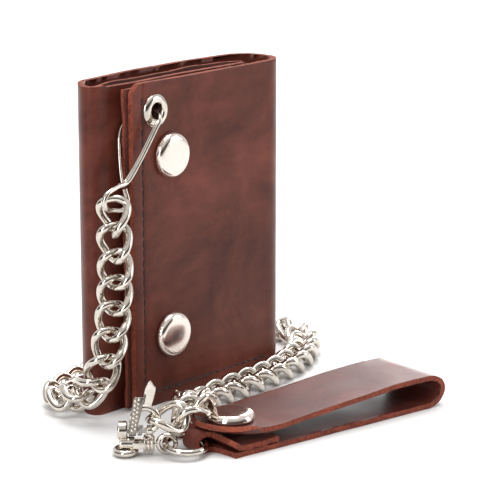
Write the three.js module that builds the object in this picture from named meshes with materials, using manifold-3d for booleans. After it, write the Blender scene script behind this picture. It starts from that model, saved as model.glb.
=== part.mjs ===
// A trifold leather wallet that stands on its bottom edge, with two snaps, an eyelet, a wire clip,
// a curb chain, a trigger hook, a ring and a leather belt loop with its own snap.
// Millimetres. X runs across the wallet, Y away from its front, Z up. Z = 0 is the wallet's bottom edge.
import * as THREE from "three";
import Module from "manifold-3d";

// ---- wallet ----
const HEIGHT = 108;
const LEATHER = 2.0; // outer leather
const LINING = 1.2;
const SEAM = 0.2; // clearance between two pieces that meet
const FRONT_WIDTH = 67.5; // flat part of the front panel
const RIGHT_FOLD_X = 67.5;
const RIGHT_FOLD_REACH = 10;
const BACK_Y_RIGHT = 21.5; // outer face of the back panel where it meets the right fold
const BACK_Y_MIDDLE = 22.8;
const BACK_Y_LEFT = 19.9;
const LEFT_FOLD_X = -2;
const LEFT_FOLD_REACH = 10;
const INNER_FLAP_Y = 6.2; // outer face of the folded-in panel
const INNER_FLAP_END = 62;
const LINING_OVERHANG = 1.5; // raw lining edge that shows past the front panel
const STITCH_INSET = 4.6;
const THREAD = 0.3; // thread radius

// ---- snaps and eyelet ----
const SNAP_X = 17.4;
const SNAP_HEIGHTS = { lower: 23, upper: 83.2 };
const CAP_RADIUS = 7.6;
const CAP_HEIGHT = 3.1;
const POST_RADIUS = 1.5;
const POST_HOLE = 1.9;
const EYELET = { x: 10.5, z: 98.5, flange: 5.5, barrel: 3.1, bore: 2.6, hole: 3.4 };

// ---- clip and chain ----
const CLIP_WIRE = 0.75;
const TONGUE_WIRE = 0.55;
const LINK_WIRE = 1.3;
const LINK_A = 5.8; // half length of a link's centreline
const LINK_B = 4.6; // half width
const LINK_TWIST = 2.4;
const LINK_PITCH = 8.45;
const CHAIN_REST = 4.2; // height of a link's centre when it lies on the floor

// ---- hook, ring and belt loop ----
const HOOK_AT = new THREE.Vector3(-32, -31.6, 0);
const HOOK_TURN = -49.4; // degrees about Z
const AXLE = { v: 2, w: 8, radius: 0.8 };
const BARREL = { v: 2, w: 3.7 };
const EYE = { u: 8.3, radius: 2.7, wire: 0.75 };
const RING = { u: 14, v: 2, w: 3.35, radius: 6.2, wire: 1.1, tiltU: -0.06, tiltV: 0.1 };
const BELT_TURN = -11;
const BELT_MID = -44;
const BELT_WIDTH = 26;
const BELT_LEATHER = 1.7;
const BELT_SNAP = 4.8;
const BELT_BEND = { s: -7, z: 3.5, reach: 3 };
const BELT_FOLD = { s: 76.5, z: 5.7, reach: 7.1, rise: 4.75 };
const TAB_WIDTH = 6.8;

const wasm = await Module();
wasm.setup();
const group = new THREE.Group();
group.name = "chain_wallet";

const LOOKS = {
  leather: { color: 0x4a2520, roughness: 0.5, metalness: 0 },
  lining: { color: 0x6b352a, roughness: 0.75, metalness: 0 },
  thread: { color: 0x2a1712, roughness: 0.9, metalness: 0 },
  nickel: { color: 0xd0cdc6, roughness: 0.16, metalness: 1 },
  steel: { color: 0xb0aeaa, roughness: 0.3, metalness: 1 },
};

function add(name, geometry, look) {
  const mesh = new THREE.Mesh(geometry, new THREE.MeshStandardMaterial(LOOKS[look]));
  mesh.name = name;
  group.add(mesh);
}

// ---- joining and cutting ----
function solid(geometry) {
  const bare = geometry.clone();
  bare.deleteAttribute("normal");
  bare.deleteAttribute("uv");
  const flat = bare.index ? bare.toNonIndexed() : bare;
  const points = flat.getAttribute("position");
  const seen = new Map();
  const vertices = [];
  const triangles = [];
  for (let i = 0; i < points.count; i++) {
    const xyz = [points.getX(i), points.getY(i), points.getZ(i)];
    const key = xyz.map((value) => Math.round(value * 1e4)).join(",");
    if (!seen.has(key)) {
      seen.set(key, vertices.length / 3);
      vertices.push(...xyz);
    }
    triangles.push(seen.get(key));
  }
  const kept = [];
  for (let i = 0; i < triangles.length; i += 3) {
    const [a, b, c] = triangles.slice(i, i + 3);
    if (a !== b && b !== c && a !== c) kept.push(a, b, c);
  }
  return new wasm.Manifold(
    new wasm.Mesh({
      numProp: 3,
      vertProperties: new Float32Array(vertices),
      triVerts: new Uint32Array(kept),
    }),
  );
}

function geometryOf(body) {
  const mesh = body.getMesh();
  const geometry = new THREE.BufferGeometry();
  geometry.setAttribute("position", new THREE.BufferAttribute(mesh.vertProperties, 3));
  geometry.setIndex(new THREE.BufferAttribute(mesh.triVerts, 1));
  geometry.computeVertexNormals();
  return geometry;
}

function join(...parts) {
  return geometryOf(parts.map(solid).reduce((all, one) => all.add(one)));
}

function cut(base, ...tools) {
  return geometryOf(tools.map(solid).reduce((all, one) => all.subtract(one), solid(base)));
}

function common(a, b) {
  return geometryOf(solid(a).intersect(solid(b)));
}

// ---- basic shapes ----
// A flat plate in the XZ plane, from y0 to y1.
function plate(shape, y0, y1) {
  const geometry = new THREE.ExtrudeGeometry(shape, {
    depth: y1 - y0,
    bevelEnabled: false,
    curveSegments: 4,
  });
  return geometry.rotateX(Math.PI / 2).translate(0, y1, 0);
}

// A strip of sheet that follows a plan line, standing from z0 to z1.
function standingStrip(line, thickness, z0, z1) {
  const geometry = new THREE.ExtrudeGeometry(new THREE.Shape(outlineOf(line, thickness)), {
    depth: z1 - z0,
    bevelEnabled: false,
  });
  return geometry.translate(0, 0, z0);
}

function outlineOf(line, thickness) {
  const left = [];
  const right = [];
  line.forEach((point, i) => {
    const before = line[Math.max(i - 1, 0)];
    const after = line[Math.min(i + 1, line.length - 1)];
    const along = after.clone().sub(before).normalize();
    const side = new THREE.Vector2(-along.y, along.x).multiplyScalar(thickness / 2);
    left.push(point.clone().add(side));
    right.unshift(point.clone().sub(side));
  });
  return [...left, ...right];
}

function ellipseArc(cx, cy, rx, ry, from, to, steps) {
  const line = [];
  for (let i = 0; i <= steps; i++) {
    const angle = THREE.MathUtils.degToRad(from + ((to - from) * i) / steps);
    line.push(new THREE.Vector2(cx + rx * Math.cos(angle), cy + ry * Math.sin(angle)));
  }
  return line;
}

function smoothLine(points, steps) {
  return new THREE.SplineCurve(points.map(([x, y]) => new THREE.Vector2(x, y))).getPoints(steps);
}

function disc(radius, sides) {
  const shape = new THREE.Shape();
  for (let i = 0; i < sides; i++) {
    const angle = (2 * Math.PI * i) / sides;
    const at = [radius * Math.cos(angle), radius * Math.sin(angle)];
    if (i === 0) shape.moveTo(...at);
    else shape.lineTo(...at);
  }
  shape.closePath();
  return shape;
}

function wire(points, radius, steps, sides = 6) {
  const path = new THREE.CatmullRomCurve3(points.map((p) => new THREE.Vector3(...p)));
  return new THREE.ExtrudeGeometry(disc(radius, sides), {
    steps,
    bevelEnabled: false,
    extrudePath: path,
  });
}

// A closed wire: centre(t) gives its centreline for t from 0 to 2 pi.
function closedWire(centre, radius, segments, sides, up) {
  const vertices = [];
  const index = [];
  for (let i = 0; i < segments; i++) {
    const t = (2 * Math.PI * i) / segments;
    const at = centre(t);
    const along = centre(t + 0.01).sub(centre(t - 0.01)).normalize();
    const side = new THREE.Vector3().crossVectors(along, up).normalize();
    const lift = new THREE.Vector3().crossVectors(side, along);
    for (let j = 0; j < sides; j++) {
      const angle = (2 * Math.PI * j) / sides;
      const point = at.clone();
      point.addScaledVector(side, radius * Math.cos(angle));
      point.addScaledVector(lift, radius * Math.sin(angle));
      vertices.push(point.x, point.y, point.z);
      const next = ((i + 1) % segments) * sides;
      const around = (j + 1) % sides;
      const here = i * sides;
      index.push(here + j, next + j, here + around);
      index.push(here + around, next + j, next + around);
    }
  }
  const geometry = new THREE.BufferGeometry();
  geometry.setAttribute("position", new THREE.Float32BufferAttribute(vertices, 3));
  geometry.setIndex(index);
  geometry.computeVertexNormals();
  return geometry;
}

// A turned part about the Y axis from [radius, height] points.
function turned(profile, sides) {
  return new THREE.LatheGeometry(profile.map(([r, h]) => new THREE.Vector2(r, h)), sides);
}

function rod(radius, length, sides) {
  return new THREE.CylinderGeometry(radius, radius, length, sides);
}

// ---- leather and linings of the wallet ----
function panelShape(x0, x1, z0, z1, corner) {
  const shape = new THREE.Shape();
  shape.moveTo(x0, z0);
  shape.lineTo(x1, z0);
  shape.lineTo(x1, z1);
  shape.lineTo(x0 + corner, z1);
  shape.lineTo(x0 + 0.3 * corner, z1 - 0.3 * corner);
  shape.lineTo(x0, z1 - corner);
  shape.closePath();
  return shape;
}

function hole(shape, x, z, radius, sides = 12) {
  const path = new THREE.Path();
  for (let i = 0; i < sides; i++) {
    const angle = (-2 * Math.PI * i) / sides;
    const at = [x + radius * Math.cos(angle), z + radius * Math.sin(angle)];
    if (i === 0) path.moveTo(...at);
    else path.lineTo(...at);
  }
  path.closePath();
  shape.holes.push(path);
}

function snapHoles(shape) {
  for (const z of Object.values(SNAP_HEIGHTS)) hole(shape, SNAP_X, z, POST_HOLE);
}

function buildWallet() {
  const front = panelShape(0, FRONT_WIDTH - SEAM, 0, HEIGHT, 3);
  snapHoles(front);
  hole(front, EYELET.x, EYELET.z, EYELET.hole, 16);
  add("front_panel", plate(front, 0, LEATHER), "leather");

  const lining = panelShape(-LINING_OVERHANG, FRONT_WIDTH - 4, 1, HEIGHT - 1.5, 4);
  snapHoles(lining);
  hole(lining, EYELET.x, EYELET.z, EYELET.hole, 16);
  add("front_lining", plate(lining, LEATHER + 0.3, LEATHER + 0.3 + LINING), "lining");

  const half = LEATHER / 2;
  const rightMiddle = BACK_Y_RIGHT / 2;
  const rightFold = ellipseArc(
    RIGHT_FOLD_X,
    rightMiddle,
    RIGHT_FOLD_REACH - half,
    rightMiddle - half,
    -89,
    89,
    12,
  );
  add("right_fold", standingStrip(rightFold, LEATHER, 0, HEIGHT), "leather");

  const back = smoothLine(
    [
      [RIGHT_FOLD_X - SEAM, BACK_Y_RIGHT - half],
      [45, BACK_Y_MIDDLE - half],
      [20, BACK_Y_MIDDLE - half - 0.5],
      [LEFT_FOLD_X + 0.5, BACK_Y_LEFT - half],
    ],
    12,
  );
  add("back_panel", standingStrip(back, LEATHER, 0, HEIGHT), "leather");

  const flapMiddle = INNER_FLAP_Y + half;
  const leftFold = smoothLine(
    [
      [LEFT_FOLD_X, BACK_Y_LEFT - half],
      [LEFT_FOLD_X - 0.1 * LEFT_FOLD_REACH, BACK_Y_LEFT - half - 0.35],
      [LEFT_FOLD_X - 0.4 * LEFT_FOLD_REACH, 16.9],
      [LEFT_FOLD_X - 0.76 * LEFT_FOLD_REACH, 13],
      [LEFT_FOLD_X - 0.89 * LEFT_FOLD_REACH, 9.6],
      [LEFT_FOLD_X - 0.75 * LEFT_FOLD_REACH, flapMiddle + 0.3],
      [LEFT_FOLD_X - 0.4 * LEFT_FOLD_REACH, flapMiddle],
      [LEFT_FOLD_X, flapMiddle],
    ],
    14,
  );
  add("left_fold", standingStrip(leftFold, LEATHER, 0, HEIGHT), "leather");

  const inner = panelShape(LEFT_FOLD_X + SEAM, INNER_FLAP_END, 0, HEIGHT - 0.5, 0);
  snapHoles(inner);
  add("inner_flap", plate(inner, INNER_FLAP_Y, INNER_FLAP_Y + LEATHER), "leather");

  const pocket = panelShape(1, INNER_FLAP_END - 2, 2, HEIGHT - 4, 3);
  const pocketY = INNER_FLAP_Y + LEATHER + 0.3;
  add("card_pocket", plate(pocket, pocketY, pocketY + LINING), "lining");

  const divider = smoothLine(
    [
      [-3.5, 12.8],
      [6, 14.6],
      [20, 14.8],
      [36, 15.5],
      [50, 15.9],
      [60, 14.4],
      [66, 11.2],
    ],
    14,
  );
  add("bill_divider", standingStrip(divider, LINING, 0.6, HEIGHT - 1), "lining");

  const y = -THREAD - 0.05;
  const thread = [
    [STITCH_INSET, y, HEIGHT - 4],
    [STITCH_INSET, y, HEIGHT / 2],
    [STITCH_INSET, y, STITCH_INSET + 2],
    [STITCH_INSET + 2, y, STITCH_INSET],
    [34, y, STITCH_INSET],
    [FRONT_WIDTH - 2, y, STITCH_INSET],
  ];
  add("front_stitching", wire(thread, THREAD, 26, 5), "thread");
}

// ---- snaps and eyelet ----
function capProfile(postLength) {
  return [
    [0, -postLength],
    [POST_RADIUS, -postLength],
    [POST_RADIUS, 0.12],
    [CAP_RADIUS - 0.4, 0.12],
    [CAP_RADIUS, 0.5],
    [CAP_RADIUS, 1.0],
    [CAP_RADIUS - 0.5, 1.6],
    [CAP_RADIUS - 2.0, 2.4],
    [CAP_RADIUS - 4.4, CAP_HEIGHT - 0.15],
    [0, CAP_HEIGHT],
  ];
}

function socketProfile(height) {
  return [
    [0, 0],
    [5.2, 0],
    [5.2, 0.5 * height],
    [4.2, height],
    [2.7, height],
    [2.7, 0.5],
    [0, 0.5],
  ];
}

function studProfile(ball, flange, post) {
  return [
    [0, -post],
    [1.4, -post],
    [1.4, 0],
    [3.8, 0],
    [3.8, flange],
    [1.8, flange + 0.1],
    [2.2, 0.7 * ball],
    [1.7, ball],
    [0, ball],
  ];
}

function buildWalletSnaps() {
  const liningBack = LEATHER + 0.3 + LINING;
  for (const [place, z] of Object.entries(SNAP_HEIGHTS)) {
    const cap = turned(capProfile(liningBack - 0.2), 24).rotateX(Math.PI);
    add("snap_cap_" + place, cap.translate(SNAP_X, 0, z), "nickel");
    const socket = turned(socketProfile(1.9), 18);
    add("snap_socket_" + place, socket.translate(SNAP_X, liningBack + 0.12, z), "steel");
    const stud = turned(studProfile(1.7, 0.3, 2), 16).rotateX(Math.PI);
    add("snap_stud_" + place, stud.translate(SNAP_X, INNER_FLAP_Y - 0.1, z), "steel");
  }
}

function buildEyelet() {
  const { x, z, flange, barrel, bore } = EYELET;
  const profile = [
    [bore, 1.0],
    [bore, -3.3],
    [barrel, -3.3],
    [barrel, 0.12],
    [flange, 0.12],
    [flange - 0.7, 0.85],
    [bore + 0.7, 1.15],
    [bore, 1.0],
  ];
  add("eyelet", turned(profile, 24).rotateX(Math.PI).translate(x, 0, z), "nickel");
  const washer = [
    [3.3, 0],
    [4.9, 0],
    [4.9, 0.35],
    [3.3, 0.35],
    [3.3, 0],
  ];
  const back = LEATHER + 0.3 + LINING + 0.12;
  add("eyelet_washer", turned(washer, 20).translate(x, back, z), "steel");
}

// ---- clip ----
function buildClip() {
  const frame = [
    [10.1, 4.7, 97.6],
    [10.2, 2.0, 97.4],
    [10.2, -1.3, 97.2],
    [9.4, -3.0, 96.3],
    [7.0, -3.1, 93.3],
    [0.8, -3.0, 85.4],
    [-5.6, -3.0, 78.6],
    [-10.4, -3.0, 77.5],
    [-15.2, -3.2, 76.0],
    [-16.7, -3.2, 73.4],
    [-15.7, -3.2, 71.1],
    [-12.7, -3.1, 70.3],
    [-8.4, -2.6, 69.6],
    [-5.0, -2.0, 71.6],
    [-5.2, -1.0, 75.6],
  ];
  add("clip_frame", wire(frame, CLIP_WIRE, 44), "nickel");
  const tongue = [
    [-5.5, -0.2, 77.6],
    [-5.2, 0.9, 80.6],
    [-4.3, 2.9, 86.5],
    [-2.9, 4.8, 92.5],
    [0.8, 4.95, 96.4],
    [6.8, 4.95, 97.2],
  ];
  add("clip_tongue", wire(tongue, TONGUE_WIRE, 16), "nickel");
}

// ---- chain ----
// The chain's centre line in two runs that end behind the wallet, one from the clip and one from
// the hook, with the way each link's flat side faces.
const FLAT = [0, 0, 1];
const FROM_CLIP = [
  { at: [-12.6, -3.2, 72.5], face: [-1, 0.1, 0] },
  { at: [-13, -3.8, 62], face: [-0.95, -0.32, 0] },
  { at: [-13, -4, 50], face: [-0.77, -0.64, 0] },
  { at: [-14, -4, 38], face: [-0.87, -0.5, 0] },
  { at: [-16.6, -4.1, 27], face: [-0.9, -0.43, 0] },
  { at: [-18.5, -2.7, 16.9], face: [-0.85, -0.53, -0.5] },
  { at: [-18.9, 6.7, 8.2], face: [-0.98, -0.22, -0.84] },
  { at: [-19, 7.6, 6.8], face: [-0.63, -0.78, -0.67] },
  { at: [-16.2, 17.2, 5.7], face: [-0.46, -0.65, 1.13] },
  { at: [-9.8, 26, 4.4], face: FLAT },
  { at: [2, 30.5, CHAIN_REST], face: FLAT },
  { at: [16, 33.5, CHAIN_REST], face: FLAT },
  { at: [20, 33.8, CHAIN_REST], face: FLAT },
];
const FROM_HOOK = [
  { at: [-27.5, -33.8, 11.4], face: [-0.76, -0.65, -0.02] },
  { at: [-26, -38.8, 10.7], face: [0.17, -0.31, 0.94] },
  { at: [-9.1, -36.3, 13.4], face: [0.2, 0.42, 0.89] },
  { at: [-3, -25, 9.7], face: [0.18, 0.1, 0.98] },
  { at: [2.9, -20.3, 5.7], face: [0.09, 0.08, 0.99] },
  { at: [22, -14.5, CHAIN_REST], face: FLAT },
  { at: [40, -13.5, CHAIN_REST], face: FLAT },
  { at: [57, -12, CHAIN_REST], face: FLAT },
  { at: [71, -8.5, CHAIN_REST], face: FLAT },
  { at: [84, -2, CHAIN_REST], face: FLAT },
  { at: [94, 7, CHAIN_REST], face: FLAT },
  { at: [98, 18, CHAIN_REST], face: FLAT },
  { at: [93, 28, CHAIN_REST], face: FLAT },
  { at: [80, 33, CHAIN_REST], face: FLAT },
];
const LINKS_BEFORE = 12; // links modelled one by one from the clip
const LINKS_AFTER = 15; // and up to the hook; the run between them is one node

// Pivot points one pitch apart along a run; each link is a chord between two of them.
function layRun(stops) {
  const samples = 60;
  const at = stops.map((stop) => new THREE.Vector3(...stop.at));
  const face = stops.map((stop) => new THREE.Vector3(...stop.face));
  const points = [];
  const faces = [];
  for (let i = 0; i + 1 < at.length; i++) {
    for (let k = 0; k < samples; k++) {
      points.push(between(at, i, k / samples));
      faces.push(between(face, i, k / samples));
    }
  }
  points.push(at[at.length - 1]);
  faces.push(face[face.length - 1]);
  const links = [];
  let pivot = points[0];
  let from = 0;
  for (let i = 1; i < points.length; i++) {
    if (points[i].distanceTo(pivot) < LINK_PITCH) continue;
    const next = pitchAway(pivot, points[i - 1], points[i]);
    links.push(linkFrame(pivot, next, faces[Math.floor((from + i) / 2)]));
    pivot = next;
    from = i - 1;
  }
  return { links, end: pivot };
}

function layChain() {
  const start = layRun(FROM_CLIP);
  const finish = layRun(FROM_HOOK);
  const gap = start.end.distanceTo(finish.end);
  const count = Math.round(gap / LINK_PITCH);
  const middle = [];
  for (let i = 0; i < count; i++) {
    const a = start.end.clone().lerp(finish.end, i / count);
    const b = start.end.clone().lerp(finish.end, (i + 1) / count);
    middle.push(linkFrame(a, b, new THREE.Vector3(...FLAT)));
  }
  return [...start.links, ...middle, ...finish.links.reverse()];
}

// A point at parameter t on the smooth curve between stops i and i + 1.
function between(stops, i, t) {
  const last = stops.length - 1;
  const b = stops[i];
  const c = stops[i + 1];
  const a = i > 0 ? stops[i - 1] : b.clone().multiplyScalar(2).sub(c);
  const d = i + 1 < last ? stops[i + 2] : c.clone().multiplyScalar(2).sub(b);
  const mix = (p, q, r, s) => {
    const linear = (r - p) * t;
    const square = (2 * p - 5 * q + 4 * r - s) * t * t;
    const cube = (3 * q - p - 3 * r + s) * t * t * t;
    return 0.5 * (2 * q + linear + square + cube);
  };
  return new THREE.Vector3(
    mix(a.x, b.x, c.x, d.x),
    mix(a.y, b.y, c.y, d.y),
    mix(a.z, b.z, c.z, d.z),
  );
}

function pitchAway(pivot, near, far) {
  let low = 0;
  let high = 1;
  for (let i = 0; i < 30; i++) {
    const middle = (low + high) / 2;
    const trial = near.clone().lerp(far, middle);
    if (trial.distanceTo(pivot) < LINK_PITCH) low = middle;
    else high = middle;
  }
  return near.clone().lerp(far, low);
}

function linkFrame(start, end, face) {
  const along = end.clone().sub(start).normalize();
  const flat = face.clone().addScaledVector(along, -face.dot(along)).normalize();
  const across = new THREE.Vector3().crossVectors(flat, along);
  const centre = start.clone().add(end).multiplyScalar(0.5);
  return new THREE.Matrix4().makeBasis(along, across, flat).setPosition(centre);
}

function curbLink() {
  const centre = (t) =>
    new THREE.Vector3(
      LINK_A * Math.cos(t),
      LINK_B * Math.sin(t),
      LINK_TWIST * Math.sin(2 * t),
    );
  return closedWire(centre, LINK_WIRE, 16, 6, new THREE.Vector3(0, 0, 1));
}

function buildChain() {
  const links = layChain();
  const number = (i) => String(i + 1).padStart(2, "0");
  links.forEach((frame, i) => {
    if (i >= LINKS_BEFORE && i < links.length - LINKS_AFTER) return;
    add("chain_link_" + number(i), curbLink().applyMatrix4(frame), "nickel");
  });
  const run = links.slice(LINKS_BEFORE, links.length - LINKS_AFTER);
  const line = run.map((frame) => new THREE.Vector3().setFromMatrixPosition(frame).toArray());
  add("chain_rear_run", wire(line, 3.1, 2 * run.length, 6), "nickel");
}

// ---- trigger hook, in its own frame: u along the hook, v away from the front, w up ----
function placeHook(geometry) {
  return geometry
    .rotateZ(THREE.MathUtils.degToRad(HOOK_TURN))
    .translate(HOOK_AT.x, HOOK_AT.y, HOOK_AT.z);
}

function rodAlongU(radius, u0, u1, v, w, sides) {
  const geometry = rod(radius, u1 - u0, sides).rotateZ(Math.PI / 2);
  return geometry.translate((u0 + u1) / 2, v, w);
}

function hookCollar() {
  const rings = [1.2, 2.35, 3.5];
  const profile = [[1.15, 1.2]];
  for (const u of rings) {
    profile.push([2.85, u], [2.85, u + 0.75], [2.35, u + 0.85], [2.35, u + 1.05]);
  }
  profile.push([2.35, 4.6], [1.15, 4.6], [1.15, 1.2]);
  const geometry = turned(profile, 18).rotateZ(-Math.PI / 2);
  return geometry.translate(0, BARREL.v, BARREL.w);
}

function hookCrook() {
  const points = ellipseArc(1.7, 11.4, 3.9, 3.9, -66, 192, 12).map((p) => [p.x, AXLE.v, p.y]);
  return wire(points, 1.1, 22, 8);
}

function hookLeaf() {
  const shape = new THREE.Shape();
  shape.moveTo(1.3, 14.6);
  shape.lineTo(3.3, 14.6);
  shape.quadraticCurveTo(5.9, 18.5, 4.5, 22.3);
  shape.quadraticCurveTo(4.1, 23.8, 3.5, 24.0);
  shape.quadraticCurveTo(1.9, 22.5, 1.5, 19.5);
  shape.closePath();
  return plate(shape, AXLE.v - 0.5, AXLE.v + 0.5);
}

function buildHook() {
  const loop = (t) => new THREE.Vector3(-4.4 + 3 * Math.cos(t), 2 + 3.3 * Math.sin(t), 1.6);
  const cheek = (v) => new THREE.BoxGeometry(4.2, 1, 2).translate(0, v, BARREL.w);
  const body = join(
    rodAlongU(2.2, -6.2, -1.5, BARREL.v, BARREL.w, 16),
    closedWire(loop, 1.15, 20, 8, new THREE.Vector3(0, 0, 1)),
    cheek(BARREL.v - 2.2),
    cheek(BARREL.v + 2.2),
    hookCollar(),
    rodAlongU(2.9, -6.9, -3.7, AXLE.v, AXLE.w, 18),
    new THREE.BoxGeometry(2.1, 3, 2.6).translate(-5, 2, 5.6),
    new THREE.BoxGeometry(1.4, 2, 1.6).translate(3, 2, 6.4),
    rodAlongU(1.6, 2.1, 3.9, AXLE.v, AXLE.w, 14),
    hookCrook(),
    hookLeaf(),
  );
  const bored = cut(body, rodAlongU(1.05, -8, 5, AXLE.v, AXLE.w, 12));
  add("hook_body", placeHook(bored), "nickel");

  const pin = rodAlongU(AXLE.radius, -6.8, 3.8, AXLE.v, AXLE.w, 12);
  add("hook_pin", placeHook(pin), "steel");

  const hub = rodAlongU(1.8, -3.3, -1.1, AXLE.v, AXLE.w, 14);
  const bar = new THREE.Shape();
  bar.moveTo(-3.25, 7.8);
  bar.lineTo(-1.1, 7.8);
  bar.lineTo(1.75, 18.6);
  bar.lineTo(1.2, 19.4);
  bar.lineTo(-1.1, 19.4);
  bar.lineTo(-1.6, 18.9);
  bar.closePath();
  const thumb = plate(bar, -1.1, 0.5);
  const root = new THREE.BoxGeometry(2.2, 2.2, 1.6).translate(-2.2, 0.7, AXLE.w);
  const gate = wire(
    [
      [-2.2, AXLE.v, 8.5],
      [-2.3, AXLE.v, 9.0],
      [-2.3, AXLE.v, 9.25],
    ],
    0.85,
    4,
    8,
  );
  const trigger = cut(
    join(hub, thumb, root, gate),
    rodAlongU(1.05, -5, 1, AXLE.v, AXLE.w, 12),
  );
  add("hook_trigger", placeHook(trigger), "nickel");

  const coil = [];
  for (let i = 0; i <= 20; i++) {
    const angle = (2 * Math.PI * i) / 8;
    const across = AXLE.v + 1.45 * Math.cos(angle);
    coil.push([-0.7 + i * 0.08, across, AXLE.w + 1.45 * Math.sin(angle)]);
  }
  add("hook_spring", placeHook(wire(coil, 0.28, 32, 5)), "steel");

  const eyeLoop = (t) =>
    new THREE.Vector3(
      EYE.u + EYE.radius * Math.cos(t),
      BARREL.v,
      BARREL.w + EYE.radius * Math.sin(t),
    );
  const eye = join(
    closedWire(eyeLoop, EYE.wire, 20, 8, new THREE.Vector3(0, 1, 0)),
    rodAlongU(0.85, 0.2, EYE.u - EYE.radius, BARREL.v, BARREL.w, 10),
    rodAlongU(1.4, -0.3, 0.75, BARREL.v, BARREL.w, 12),
  );
  add("swivel_eye", placeHook(eye), "nickel");

  const ring = (t) => {
    const u = RING.radius * Math.cos(t);
    const v = RING.radius * Math.sin(t);
    return new THREE.Vector3(RING.u + u, RING.v + v, RING.w + RING.tiltU * u + RING.tiltV * v);
  };
  const hoop = closedWire(ring, RING.wire, 28, 8, new THREE.Vector3(0, 0, 1));
  add("belt_ring", placeHook(hoop), "nickel");
}

// ---- belt loop, in its own frame: s along the strap, n across it, z up ----
function placeBelt(geometry) {
  return geometry.rotateZ(THREE.MathUtils.degToRad(BELT_TURN));
}

// A strap layer whose side view is the given [s, z] line.
function strap(line, width) {
  const shape = new THREE.Shape(outlineOf(line, BELT_LEATHER));
  return plate(shape, BELT_MID - width / 2, BELT_MID + width / 2);
}

function planPrism(points) {
  const shape = new THREE.Shape(points.map(([s, n]) => new THREE.Vector2(s, BELT_MID + n)));
  return new THREE.ExtrudeGeometry(shape, { depth: 30, bevelEnabled: false }).translate(0, 0, -5);
}

function postHole(from, to) {
  return rod(1.8, to - from, 12).rotateX(Math.PI / 2).translate(BELT_SNAP, BELT_MID, (from + to) / 2);
}

function buildBeltLoop() {
  const half = BELT_WIDTH / 2;
  const low = BELT_FOLD.z - BELT_FOLD.rise;
  const high = BELT_FOLD.z + BELT_FOLD.rise;
  const bend = ellipseArc(
    BELT_BEND.s,
    BELT_BEND.z,
    BELT_BEND.reach + BELT_LEATHER / 2,
    BELT_BEND.z - low,
    268,
    92,
    10,
  );
  const backOver = smoothLine(
    [
      [BELT_BEND.s + 0.4, 2 * BELT_BEND.z - low],
      [-4.3, 5.3],
      [-2.2, 3.6],
      [0.6, 2.76],
      [14, 2.74],
    ],
    10,
  );
  const start = new THREE.Vector2(BELT_FOLD.s - SEAM, low);
  const middle = new THREE.Vector2(30, low);
  const base = strap([start, middle, new THREE.Vector2(-4, low), ...bend, ...backOver], BELT_WIDTH);
  const tab = TAB_WIDTH / 2;
  const outline = planPrism([
    [-14, -tab],
    [-5.2, -tab],
    [-3.4, -half],
    [90, -half],
    [90, half],
    [-3.4, half],
    [-5.2, tab],
    [-14, tab],
  ]);
  add("belt_base", placeBelt(cut(common(base, outline), postHole(-1, 4.6))), "leather");

  const fold = ellipseArc(BELT_FOLD.s, BELT_FOLD.z, BELT_FOLD.reach, BELT_FOLD.rise, -89, 89, 12);
  add("belt_fold", placeBelt(strap(fold, BELT_WIDTH)), "leather");

  const top = strap(
    smoothLine(
      [
        [-7.5, 8.6],
        [-4, 7.2],
        [2, 6.95],
        [13, 7.0],
        [30, 8.0],
        [50, 9.5],
        [66, high],
        [BELT_FOLD.s - SEAM, high],
      ],
      18,
    ),
    BELT_WIDTH,
  );
  const rounded = ellipseArc(5.3, 0, 12.5, half, 90, 270, 14).map((p) => [p.x, p.y]);
  const tip = planPrism([...rounded, [90, -half], [90, half]]);
  add("belt_top", placeBelt(cut(common(top, tip), postHole(5, 9))), "leather");

  const cap = turned(capProfile(1.55), 24).rotateX(Math.PI / 2);
  add("belt_snap_cap", placeBelt(cap.translate(BELT_SNAP, BELT_MID, 7.95)), "nickel");
  const socket = turned(socketProfile(1.6), 18).rotateX(-Math.PI / 2);
  add("belt_snap_socket", placeBelt(socket.translate(BELT_SNAP, BELT_MID, 5.95)), "steel");
  const stud = turned(studProfile(1.5, 0.3, 2.9), 16).rotateX(Math.PI / 2);
  add("belt_snap_stud", placeBelt(stud.translate(BELT_SNAP, BELT_MID, 3.78)), "steel");
}

buildWallet();
buildWalletSnaps();
buildEyelet();
buildClip();
buildChain();
buildHook();
buildBeltLoop();

export default group;
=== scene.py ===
"""A trifold leather wallet on its edge, with a wire clip, a curb chain, a trigger hook, a ring and a
leather belt loop. Lengths are in millimetres until a piece is placed, and then in metres."""
import math
import random

import bmesh
import bpy
from mathutils import Matrix, Vector, noise


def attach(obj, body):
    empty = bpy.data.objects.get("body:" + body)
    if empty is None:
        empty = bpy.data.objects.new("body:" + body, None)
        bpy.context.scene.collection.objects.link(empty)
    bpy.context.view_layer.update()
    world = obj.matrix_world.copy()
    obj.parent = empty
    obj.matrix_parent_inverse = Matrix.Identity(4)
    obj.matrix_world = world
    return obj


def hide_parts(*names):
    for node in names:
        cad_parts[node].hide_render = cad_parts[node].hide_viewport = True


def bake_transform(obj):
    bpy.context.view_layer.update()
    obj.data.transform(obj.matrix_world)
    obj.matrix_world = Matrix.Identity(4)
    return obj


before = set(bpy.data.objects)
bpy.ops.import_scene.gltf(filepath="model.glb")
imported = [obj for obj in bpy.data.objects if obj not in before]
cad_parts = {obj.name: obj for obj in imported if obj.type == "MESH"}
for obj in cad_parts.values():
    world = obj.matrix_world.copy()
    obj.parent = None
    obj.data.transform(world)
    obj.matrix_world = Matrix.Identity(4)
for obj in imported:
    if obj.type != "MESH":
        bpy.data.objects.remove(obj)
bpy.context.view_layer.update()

MM = 0.001

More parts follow.
